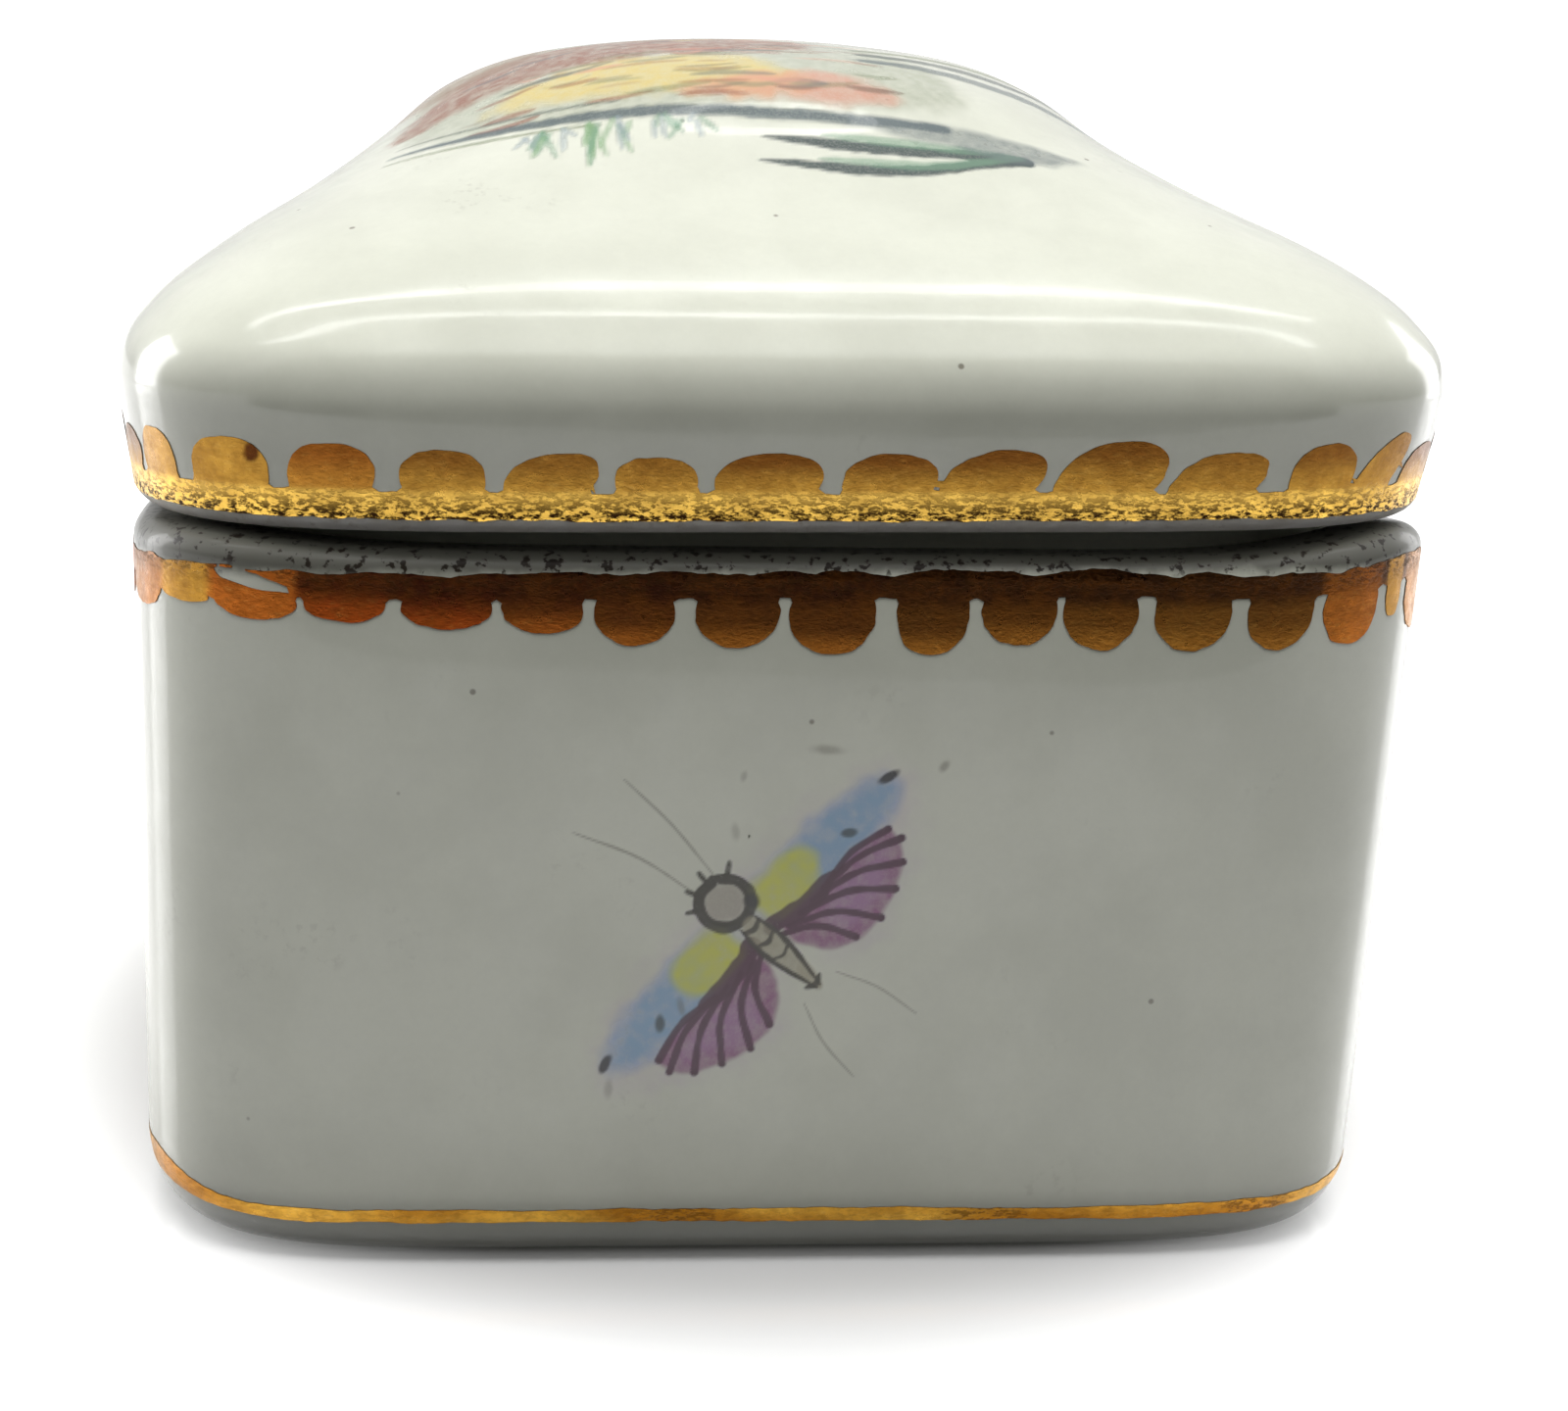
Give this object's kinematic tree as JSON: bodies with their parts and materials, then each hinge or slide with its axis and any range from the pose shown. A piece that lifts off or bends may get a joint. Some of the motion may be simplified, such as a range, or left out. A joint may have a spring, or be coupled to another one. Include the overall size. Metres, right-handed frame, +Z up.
{
  "type": "porcelain trinket box",
  "caption": "Nearly square porcelain trinket box: a deep base and a domed, ogee-shaped lid that lifts straight off.",
  "frame": {"origin": "centre of the foot, on the surface that the box stands on", "axes": "+Z up, -Y the front that carries the butterfly, +X to the right as seen from the front"},
  "size_m": [0.0674, 0.0742, 0.0599],
  "materials": {
    "porcelain": "glossy white glaze",
    "gilding": "thin fired gold, rubbed and speckled",
    "enamel": "painted overglaze colours",
    "bisque": "unglazed matt porcelain"
  },
  "bodies": {
    "base": {"base": "porcelain"},
    "lid": {"lid": "porcelain"}
  },
  "joints": [
    {"name": "lid_lift", "type": "slide", "parent": "base", "child": "lid", "axis": [0, 0, 1], "range_m": [0, 0.06]}
  ]
}
